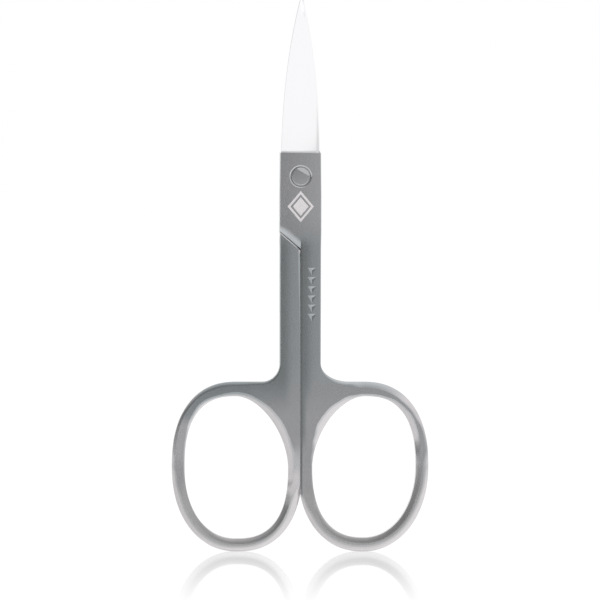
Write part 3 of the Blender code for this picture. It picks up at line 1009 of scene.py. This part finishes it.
def brushing(look, x, y, z):
    """Fine brush marks, 0 to 1: lengthwise on the shanks and blades, and round the rings."""
    along_shank = look.noise(x * BRUSH_ACROSS, y * BRUSH_ACROSS, z * BRUSH_ALONG, 1.0, BRUSH_DETAIL,
                             BRUSH_ROUGHNESS)
    across, up, turn = round_ring(look, x, z)
    squashed_up = up * (RING.half_x / RING.half_z)
    radius = (across * across + squashed_up * squashed_up).root()
    around = look.noise(radius * BRUSH_ACROSS, y * BRUSH_ACROSS, turn * BRUSH_ROUND, 1.0, BRUSH_DETAIL,
                        BRUSH_ROUGHNESS)
    on_ring = z.ramp(RING_TOP / MM + BRUSH_TURN_BLEND, RING_TOP / MM - BRUSH_TURN_BLEND)
    return along_shank + (around - along_shank) * on_ring


def degrees_round_ring(look, x, z):
    """Degrees round a ring, from its side away from the seam, by the top."""
    turn = round_ring(look, x, z)[2] * math.degrees(1)
    return turn + turn.ramp(*BELOW_ZERO, 0.0, 360.0)


def depth_below_face(turn, x, y):
    """How far a point lies behind its half's front face, in millimetres."""
    thinned = turn.ramp(THINNED_FROM, THINNED_FULLY) * turn.ramp(FULL_AGAIN, THICKER_FROM)
    return y - PLATE_FRONT / MM - thinned * x.ramp(*BELOW_ZERO) * (THINNED_BY / MM)


def across_face(x, z):
    """-1 to 1 from left to right of the ride, and of each shank below it."""
    side = (x * SIGN_STEEPNESS).held()
    shank = (x - SHANK_MIDDLE * side) / SHANK_HALF_WIDTH
    ride = x / (RIDE_HALF_WIDTH / MM)
    return ride + (shank - ride) * z.ramp(*SHANK_Z)


def forged_colour_with_painted_shade(look, x, z, across):
    """The faces' steel with painted shade and light: darker down the shanks' left sides, lighter at the
    left ring's outer side.
    """
    colour = look.blend(z.ramp(*LOWER_Z), UPPER_STEEL, LOWER_STEEL)
    # Painted shade down the shanks and on the left ring's upper part
    dark = z.band(*PAINTED_SHADE_SHANK_Z) + x.ramp(*PAINTED_SHADE_RING_X) * z.band(*PAINTED_SHADE_RING_Z)
    colour = look.blend(dark, colour, PAINTED_SHADE_STEEL)
    # Deeper painted shade on the shanks' left sides and beside the seam in the rings
    shaded = across.ramp(*SHADED_SIDE) * z.band(*SHADED_SHANK_Z)
    shaded = shaded + x.band(*SHADED_SEAM_X) * z.band(*SHADED_SEAM_Z)
    colour = look.blend(shaded, colour, SHADED_STEEL)
    # Painted light on the left ring's outer side
    colour = look.blend(x.ramp(*PAINTED_LIGHT_RING_X) * z.band(*PAINTED_LIGHT_RING_Z), colour, PAINTED_LIGHT_STEEL)
    # Painted shade in a thin line just right of the seam
    return look.blend(x.band(*SEAM_PAINTED_SHADE_X) * z.ramp(*SEAM_PAINTED_SHADE_Z), colour, SEAM_PAINTED_SHADE)


def ground_and_highlight_share(look, x, y, z):
    """Share of bright steel: ground rings' edges brightened as painted highlight, and painted highlight
    on the shoulder and the facet beside the seam.
    """
    turn = degrees_round_ring(look, x, z)
    depth = depth_below_face(turn, x, y)
    ring = depth.ramp(*GROUND_DEPTH) * z.ramp(*GROUND_Z)
    # Painted highlight along the shoulder's edge
    below = 0.0 - (z + SHOULDER_DROP / MM + (x + RIDE_HALF_WIDTH / MM) * math.tan(SHOULDER_ANGLE))
    shoulder = below.band(*SHOULDER_HIGHLIGHT) * x.ramp(*SHOULDER_HIGHLIGHT_X)
    shoulder = shoulder * depth.ramp(*SHOULDER_HIGHLIGHT_DEPTH)
    # Painted highlight on the facet beside the seam
    facet = turn.band(*SEAM_FACET_HIGHLIGHT_TURN) * x.ramp(*BELOW_ZERO) * y.ramp(*SEAM_FACET_HIGHLIGHT_Y)
    return (ring + shoulder).over(facet)


def etching(x, y, z):
    """Share of etched steel: the lozenge's frame and middle, on the front face alone."""
    reach = abs(x) / (ETCHED_HALF_WIDTH / MM) + abs(z - ETCHED_Z / MM) / (ETCHED_HALF_HEIGHT / MM)
    frame_line = reach.band(ETCHED_FRAME - ETCHED_BLUR, ETCHED_FRAME + ETCHED_BLUR,
                            1 - ETCHED_BLUR, 1 + ETCHED_BLUR)
    middle = reach.ramp(ETCHED_MIDDLE + ETCHED_BLUR, ETCHED_MIDDLE - ETCHED_BLUR)
    face = PLATE_FRONT / MM
    return (frame_line + middle) * y.ramp(face + ETCHED_DEEP, face + ETCHED_SHALLOW)


def new_finish(name):
    """A new material and its empty node tree."""
    material = bpy.data.materials.new(name)
    return material, Look(material)


def satin_steel():
    """Fine-brushed steel of the shanks and rings, with painted shade and highlights, and the etched
    lozenge on the ride.
    """
    material, look = new_finish("satin_steel")
    x, y, z = look.place()
    streaks = brushing(look, x, y, z)
    patches = look.noise(x, y, z, PATCH_SCALE)
    across = across_face(x, z)
    crown = across.held() * z.ramp(*CROWNED_Z)
    normal = look.tilted_normal(crown * CROWN_LEAN, (patches - 0.5) * PATCH_LEAN)
    # Ground edges, brightened as painted highlight, laid over the faces' painted shade
    ground = look.blend(patches, GROUND_AND_SHEEN_DULL, GROUND_AND_SHEEN_BRIGHT)
    colour = look.blend(ground_and_highlight_share(look, x, y, z), forged_colour_with_painted_shade(look, x, z, across), ground)
    etched = etching(x, y, z)
    rough = streaks * SATIN_STREAKS + patches * SATIN_PATCHES + SATIN_ROUGH
    look.steel(look.blend(etched, colour, ETCHED_STEEL), rough + etched * ETCHED_ROUGH,
               look.bump(streaks * SATIN_MARKS, normal), metallic=1.0 - etched)
    return material


def polished_steel():
    """Bright blades with faint grinding marks along them."""
    material, look = new_finish("polished_steel")
    streaks = brushing(look, *look.place())
    look.steel(POLISHED, streaks * POLISHED_STREAKS + POLISHED_ROUGH, look.bump(streaks * POLISHED_MARKS))
    return material


def rivet_steel():
    """Turned steel, with a painted highlight on the head's facet."""
    material, look = new_finish("rivet_steel")
    x, y, z = look.place()
    turning = look.noise((x * x + z * z).root() * TURNING_ACROSS, y * TURNING_ACROSS, 0.0, 1.0,
                         TURNING_DETAIL, BRUSH_ROUGHNESS)
    # Painted highlight on the head's facet
    reach = x * math.cos(HEAD_FACET_TOWARDS) + z * math.sin(HEAD_FACET_TOWARDS)
    facet_highlight = reach.ramp(HEAD_FACET_FROM / MM - FACET_HIGHLIGHT_BLUR, HEAD_FACET_FROM / MM + FACET_HIGHLIGHT_BLUR)
    look.steel(look.blend(facet_highlight * y.ramp(*FACET_HIGHLIGHT_Y), RIVET_STEEL, FACET_HIGHLIGHT_STEEL),
               turning * RIVET_STREAKS + RIVET_ROUGH, look.bump(turning * RIVET_MARKS))
    return material


def dress(piece, material, body, slot, *nodes):
    """Give a piece its finish and body, and hide the nodes it stands for."""
    piece.data.materials.clear()
    piece.data.materials.append(material)
    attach(piece, body)
    if nodes:
        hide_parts(*nodes)


# Stage

def floor():
    """A white sheet that shines a little near the scissors and keeps their shadow."""
    deselect_all()
    bpy.ops.mesh.primitive_plane_add(size=1.0)
    sheet = bpy.context.object
    sheet.name = "white_sheet"
    sheet.scale = (SHEET_WIDTH, SHEET_LENGTH, 1.0)
    sheet.location = (0, SHEET_LENGTH / 2 - SHEET_IN_FRONT, RING_FOOT)
    fix_place(sheet)
    material, look = new_finish("white_sheet")
    x, y = look.place()[:2]
    beside = (abs(x) - SHINE_BESIDE).over(0.0)
    before = (abs(y + SHINE_DEPTH) - SHINE_DEPTH).over(0.0)
    away = (beside * beside + before * before).root()
    mirror = away.ramp(0.0, SHINE_REACH, SHINE, 0.0)
    white = look.node("Emission", inputs={"Color": WHITE, "Strength": SHEET_WHITE})
    matt = look.node("BsdfDiffuse", inputs={"Color": SHEET_MATT})
    paper = look.node("AddShader", inputs={0: white.outputs[0], 1: matt.outputs[0]})
    shine = look.node("BsdfGlossy", inputs={"Color": WHITE, "Roughness": SHINE_ROUGHNESS})
    look.surface(look.node("MixShader", inputs={
        0: mirror, 1: paper.outputs[0], 2: shine.outputs[0]}))
    sheet.data.materials.append(material)


def studio():
    """World light: white behind and below, dark at the left, soft lights overhead and at the right."""
    world = bpy.data.worlds.new("studio")
    bpy.context.scene.world = world
    look = Look(world)
    x, y, z = look.split(look.node("TexCoord").outputs["Generated"])
    shaded = x.ramp(*SHADE_X) * z.ramp(*SHADE_Z) * SHADE
    behind = y.ramp(*BEHIND_Y) * x.ramp(*BEHIND_X) * (1.0 - shaded)
    horizon = (0.0 - x).ramp(*HORIZON_X, *HORIZON_DROP)
    below = (0.0 - z - horizon).ramp(*HORIZON_BLUR)
    overhead = z.ramp(*CEILING_Z) * CEILING + z.ramp(*LAMP_Z) * LAMP
    rising = (0.0 - z).ramp(*GLOW_Z) * FLOOR_GLOW
    right = x.ramp(*SIDE_X) * SIDE_LIGHT
    light = (overhead + right + rising + AMBIENT).under(1.0)
    light = light + (1.0 - light) * below
    level = light + (1.0 - light) * behind
    seen = Sum(look, look.node("LightPath").outputs["Is Camera Ray"])
    strength = level + (1.0 - level) * seen
    background = look.node("Background", inputs={"Color": WHITE, "Strength": strength})
    output = look.node("OutputWorld")
    look.tree.links.new(background.outputs[0], output.inputs["Surface"])


def camera():
    data = bpy.data.cameras.new("camera")
    made = bpy.data.objects.new("camera", data)
    bpy.context.scene.collection.objects.link(made)
    direction = Vector((math.sin(CAMERA_AZIMUTH) * math.cos(CAMERA_ELEVATION),
                        -math.cos(CAMERA_AZIMUTH) * math.cos(CAMERA_ELEVATION),
                        math.sin(CAMERA_ELEVATION)))
    turn = (-direction).to_track_quat("-Z", "Y").to_matrix() @ Matrix.Rotation(CAMERA_ROLL, 3, "Z")
    middle = PICTURE_PIXELS / 2
    pivot = Vector((0, PLATE_FRONT, 0))
    target = pivot + turn @ Vector(((middle - PIVOT_AT[0]) * PIXEL, (PIVOT_AT[1] - middle) * PIXEL, 0))
    made.matrix_world = Matrix.Translation(target + direction * CAMERA_DISTANCE) @ turn.to_4x4()
    data.sensor_width = SENSOR_WIDTH
    data.lens = SENSOR_WIDTH * CAMERA_DISTANCE / (PICTURE_PIXELS * PIXEL)
    data.clip_start = CAMERA_NEAR
    bpy.context.scene.camera = made


# Rims of the two halves

def face_rims(diagonal, side, seam_top, seam, root, ring, hole, thinned=False):
    """A face's rims by their edges. The diagonal has three: at its left, middle and right."""
    return {"diagonal": diagonal, "side": side, "seam_top": seam_top, "seam": seam, "root": root,
            "ring": ring, "hole": hole, "thinned": thinned}


def left_face():
    """Front of the rear half, whose ring is on the left."""
    ring = Grinding(
        (0, 0.65, 0.18, 1.3), (15, 0.50, 0.10, 1.5), (40, 0.45, 0.12, 1.6), (60, 0.50, 0.34, 1.5),
        (75, 0.65, 0.44, 1.5), (95, 0.65, 0.44, 1.5), (202, 0.80, 0.30, 1.3), (210, 1.30, 0.50, 1.2),
        (255, 0.95, 0.50, 1.4), (285, 0.90, 0.50, 1.4), (330, 1.00, 0.45, 1.4), (345, 0.80, 0.30, 1.4))
    hole = Grinding(
        (0, 0.25, 0.06, 1.5), (30, 0.30, 0.06, 1.5), (45, 0.50, 0.20, 1.5), (60, 0.70, 0.30, 1.5),
        (75, 0.50, 0.25, 1.5), (90, 0.70, 0.30, 1.5), (105, 0.85, 0.35, 1.4), (120, 1.15, 0.40, 1.3),
        (135, 1.30, 0.45, 1.3), (165, 1.25, 0.40, 1.3), (180, 1.20, 0.34, 1.3), (193, 1.05, 0.24, 1.3),
        (203, 0.60, 0.15, 1.4), (210, 0.55, 0.18, 1.4), (225, 0.80, 0.25, 1.3), (270, 0.90, 0.22, 1.3),
        (300, 0.80, 0.10, 1.4), (330, 0.60, 0.06, 1.5), (345, 0.40, 0.05, 1.5))
    return face_rims(
        diagonal=[Rim(0.3 * MM)] * 3, side=Rim(0.14 * MM), seam_top=Rim(0.4 * MM, 0.12 * MM, 1.05),
        seam=Rim(0.04 * MM), root=Rim(0.45 * MM, 0.3 * MM, 1.6), ring=ring, hole=hole, thinned=True)


def right_face():
    """Front of the front half, whose ring is on the right."""
    ring = Grinding(
        (0, 0.90, 0.20, 1.4), (15, 0.40, 0.10, 1.6), (30, 0.40, 0.20, 1.5), (45, 0.80, 0.45, 1.3),
        (60, 1.05, 0.60, 1.2), (95, 1.05, 0.60, 1.2), (202, 0.25, 0.12, 1.4), (213, 0.65, 0.32, 1.4),
        (225, 0.95, 0.45, 1.4), (270, 1.05, 0.50, 1.4), (315, 1.00, 0.45, 1.4), (330, 0.95, 0.40, 1.4),
        (345, 0.80, 0.30, 1.4))
    hole = Grinding(
        (0, 1.00, 0.12, 1.2), (12, 0.80, 0.09, 1.3), (32, 0.95, 0.35, 1.2), (45, 0.95, 0.35, 1.2),
        (60, 0.65, 0.30, 1.3), (75, 0.40, 0.20, 1.4), (92, 0.40, 0.20, 1.4), (105, 0.85, 0.35, 1.2),
        (120, 1.20, 0.45, 1.2), (135, 1.25, 0.45, 1.2), (150, 0.80, 0.30, 1.3), (165, 0.40, 0.10, 1.5),
        (180, 0.25, 0.05, 1.5), (210, 0.25, 0.05, 1.5), (225, 0.70, 0.13, 1.4), (240, 0.80, 0.15, 1.3),
        (270, 0.90, 0.17, 1.3), (315, 0.85, 0.15, 1.3), (330, 0.80, 0.14, 1.3), (345, 0.90, 0.14, 1.3))
    diagonal = [Rim(1.0 * MM, 0.20 * MM, upright=True), Rim(1.35 * MM, 0.32 * MM, upright=True),
                Rim(1.25 * MM, 0.36 * MM, upright=True)]
    return face_rims(
        diagonal=diagonal, side=Rim(0.14 * MM), seam_top=Rim(0.05 * MM), seam=Rim(0.04 * MM),
        root=Rim(0.7 * MM, 0.45 * MM, 1.4), ring=ring, hole=hole)


def back_face():
    """Both halves' backs, which are ground alike."""
    ring = Grinding(
        (0, 0.90, 0.80, 2.0), (90, 0.80, 0.80, 2.0), (205, 0.80, 0.80, 2.0), (270, 0.95, 0.85, 2.0))
    hole = Grinding(
        (0, 0.90, 0.80, 2.0), (90, 0.85, 0.80, 2.0), (180, 0.90, 0.80, 2.0), (270, 0.90, 0.80, 2.0))
    return face_rims(
        diagonal=[Rim(0.3 * MM)] * 3, side=Rim(0.3 * MM), seam_top=Rim(0.2 * MM), seam=Rim(0.2 * MM),
        root=Rim(0.5 * MM), ring=ring, hole=hole)


def main():
    bpy.context.scene.view_settings.view_transform = "Standard"
    satin, polished, turned_steel = satin_steel(), polished_steel(), rivet_steel()

    front = forged_half("front_shank", RIGHT_RING, right_face(), back_face())
    cut(front, front_bore())
    cut(front, engraved_row())
    cut(front, etched_lozenge())
    rear = forged_half("rear_shank", LEFT_RING, back_face(), left_face())
    cut(rear, rear_bore())
    turn_over(rear)
    front_blade, rear_blade = blade("front_blade", -1), blade("rear_blade", 1)
    turn_over(rear_blade)
    pin = rivet()
    for piece in (front, rear, front_blade, rear_blade, pin):
        shade(piece)
    dress(front, satin, "front", "satin_steel", "front_half")
    dress(front_blade, polished, "front", "satin_steel")
    dress(rear, satin, "rear", "satin_steel", "rear_half")
    dress(rear_blade, polished, "rear", "satin_steel")
    dress(pin, turned_steel, "rear", "rivet_steel", "pivot_rivet")
    floor()
    studio()
    camera()


main()
